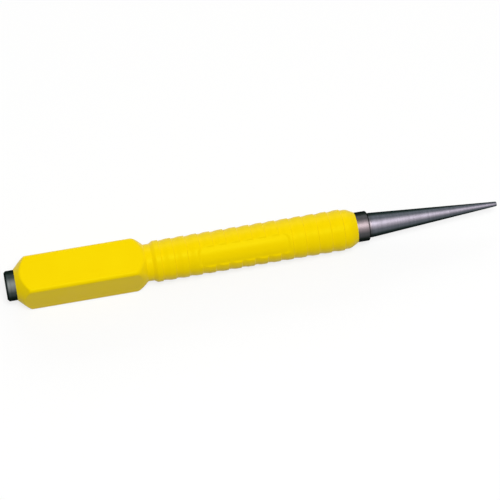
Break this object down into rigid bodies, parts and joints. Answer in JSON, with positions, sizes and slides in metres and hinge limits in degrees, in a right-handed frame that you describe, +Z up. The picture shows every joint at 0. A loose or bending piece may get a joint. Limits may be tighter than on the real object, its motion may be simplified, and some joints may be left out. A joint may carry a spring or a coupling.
{
  "type": "nail setter",
  "caption": "Tapered steel nail punch in a moulded grip with a square anti-roll head, a round neck, ribs and a smooth sunk panel.",
  "frame": {"origin": "centre of the struck face at the rear end of the punch", "axes": "+X runs along the tool from the struck face to the tip, +Z is up with one flat of the square head facing down, and +Y completes the right-handed set; the smooth panel faces up and towards -Y"},
  "size_m": [0.1328, 0.011, 0.011],
  "materials": {
    "punch_steel": "hardened, turned and ground, dark grey with fine rings",
    "sleeve_plastic": "injection moulded, satin, bright yellow"
  },
  "bodies": {
    "root": {"steel_punch": "punch_steel", "grip_sleeve": "sleeve_plastic"}
  },
  "joints": []
}
